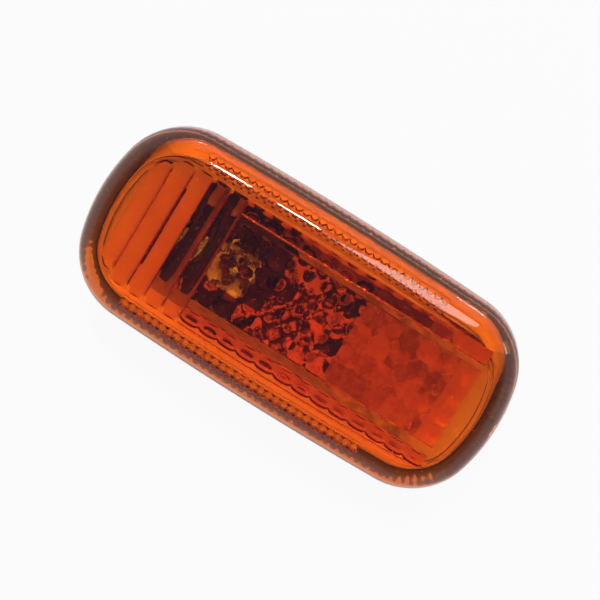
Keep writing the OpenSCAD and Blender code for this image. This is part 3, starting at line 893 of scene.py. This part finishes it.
lamps = {                       # compass bearing from +X, height above the floor in degrees, distance,
                                # size, power and colour
    'strip far side': (80.8, 62, 0.55, (0.065, 0.34), 0.42, (1, 0.99, 0.97)),
    'lamp one': (99.5, 70, 0.55, (0.025, 0.025), 0.45, (1, 0.99, 0.97)),
    'lamp two': (108.4, 66, 0.55, (0.02, 0.025), 0.4, (1, 0.99, 0.97)),
    'spark hook end': (108, 9, 0.5, (0.05, 0.012), 0.12, (1, 1, 1)),
    'spark clip end': (80, 3, 0.5, (0.05, 0.01), 0.12, (1, 1, 1)),
    'soft clip corner': (42, 6, 0.5, (0.1, 0.08), 0.12, (1, 1, 1)),
}


def whiteWhereSeen(nodes, links, plain, output, shares):
    path = nodes.new('ShaderNodeLightPath')
    glow = nodes.new('ShaderNodeEmission')
    glow.inputs['Color'].default_value = (1, 1, 1, 1)
    seen = None
    for kind, share in shares.items():
        part = nodes.new('ShaderNodeMath')
        part.operation = 'MULTIPLY'
        links.new(path.outputs[kind], part.inputs[0])
        part.inputs[1].default_value = share
        if seen:
            either = nodes.new('ShaderNodeMath')
            either.operation = 'MAXIMUM'
            links.new(seen, either.inputs[0])
            links.new(part.outputs[0], either.inputs[1])
            part = either
        seen = part.outputs[0]
    mixed = nodes.new('ShaderNodeMixShader')
    links.new(seen, mixed.inputs[0])
    links.new(plain, mixed.inputs[1])
    links.new(glow.outputs[0], mixed.inputs[2])
    links.new(mixed.outputs[0], output)


def makeFloor():
    deselectAll()
    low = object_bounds()[0][2]
    bpy.ops.mesh.primitive_plane_add(size=stageSizes['floorSize'],
        location=(0, 0, low - stageSizes['floorDrop']))
    floor = bpy.context.object
    floor.name = "floor"
    material = bpy.data.materials.new("white floor")
    material.use_nodes = True
    nodes = material.node_tree.nodes
    surface = nodes['Principled BSDF']
    surface.inputs['Base Color'].default_value = stageSizes['floorShade']
    surface.inputs['Roughness'].default_value = stageSizes['floorRough']
    whiteWhereSeen(nodes, material.node_tree.links, surface.outputs[0],
        nodes['Material Output'].inputs['Surface'], stageSizes['whiteShares'])
    floor.data.materials.append(material)


def makeWorld():
    world = bpy.data.worlds.new("studio")
    bpy.context.scene.world = world
    world.use_nodes = True
    nodes = world.node_tree.nodes
    links = world.node_tree.links
    sky = nodes['Background']
    place = nodes.new('ShaderNodeTexCoord')
    parts = nodes.new('ShaderNodeSeparateXYZ')
    height = nodes.new('ShaderNodeMapRange')
    shades = nodes.new('ShaderNodeMix')
    height.interpolation_type = 'SMOOTHSTEP'
    height.inputs['From Min'].default_value, height.inputs['From Max'].default_value = stageSizes['skyEdges']
    shades.data_type = 'RGBA'
    shades.inputs[6].default_value = (*stageSizes['skyLow'], 1)
    shades.inputs[7].default_value = (*stageSizes['skyHigh'], 1)
    links.new(place.outputs['Generated'], parts.inputs[0])
    links.new(parts.outputs['Z'], height.inputs['Value'])
    links.new(height.outputs[0], shades.inputs[0])
    links.new(shades.outputs[2], sky.inputs['Color'])
    path = nodes.new('ShaderNodeLightPath')
    white = nodes.new('ShaderNodeBackground')
    mixed = nodes.new('ShaderNodeMixShader')
    links.new(path.outputs['Is Camera Ray'], mixed.inputs[0])
    links.new(sky.outputs[0], mixed.inputs[1])
    links.new(white.outputs[0], mixed.inputs[2])
    white.inputs['Color'].default_value = (1, 1, 1, 1)
    links.new(mixed.outputs[0], nodes['World Output'].inputs['Surface'])


def makeLamps():
    for name, (bearing, height, distance, size, power, shade) in lamps.items():
        flat, rise = math.radians(bearing), math.radians(height)
        place = distance * Vector((math.cos(rise) * math.cos(flat), math.cos(rise) * math.sin(flat),
            math.sin(rise)))
        deselectAll()
        bpy.ops.object.light_add(type='AREA', location=place)
        lamp = bpy.context.object
        lamp.name = name
        lamp.rotation_euler = (-place).to_track_quat('-Z', 'Y').to_euler()
        lamp.data.shape = 'RECTANGLE'
        lamp.data.size, lamp.data.size_y = size
        lamp.data.energy = power
        lamp.data.color = shade


bpy.context.scene.view_settings.view_transform = 'Standard'
makeCamera()
makeLens(amberFinish())
makeSealant(sealantFinish())

blackPlastic = mouldedFinish("black holder")
rubber = mouldedFinish("seal rubber")
steel = metalFinish("spring steel")
brass = metalFinish("contact brass")
leadWire = metalFinish("lead wire")
tungsten = metalFinish("filament")

finishPiece(softened("housing", "housingMoulding"), housingFinish(), "housing_plastic", "housing")
finishPiece(softened("bulb_holder", "bulbHolder"), blackPlastic, "holder_plastic", "bulb_holder")
finishPiece(softened("gasket", "foamGasket"), foamFinish(), "gasket_foam", "gasket")
finishPiece(softened("holder_seal", "holderSeal"), rubber, "seal_rubber", "holder_seal")
finishPiece(softened("spring_clip", "springClip"), steel, "spring_steel", "spring_clip")
finishPiece(softened("bulb_glass", "bulbGlass"), glassFinish(), "clear_glass", "bulb_glass")
for node, material in (("contact_left", brass), ("contact_right", brass), ("bulb_lead_left", leadWire),
        ("bulb_lead_right", leadWire), ("bulb_filament", tungsten)):
    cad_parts[node].data.materials.clear()
    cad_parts[node].data.materials.append(material)
print("materials and moulded pieces done")

makeFloor()
makeWorld()
makeLamps()
print("floor, world and lamps done")
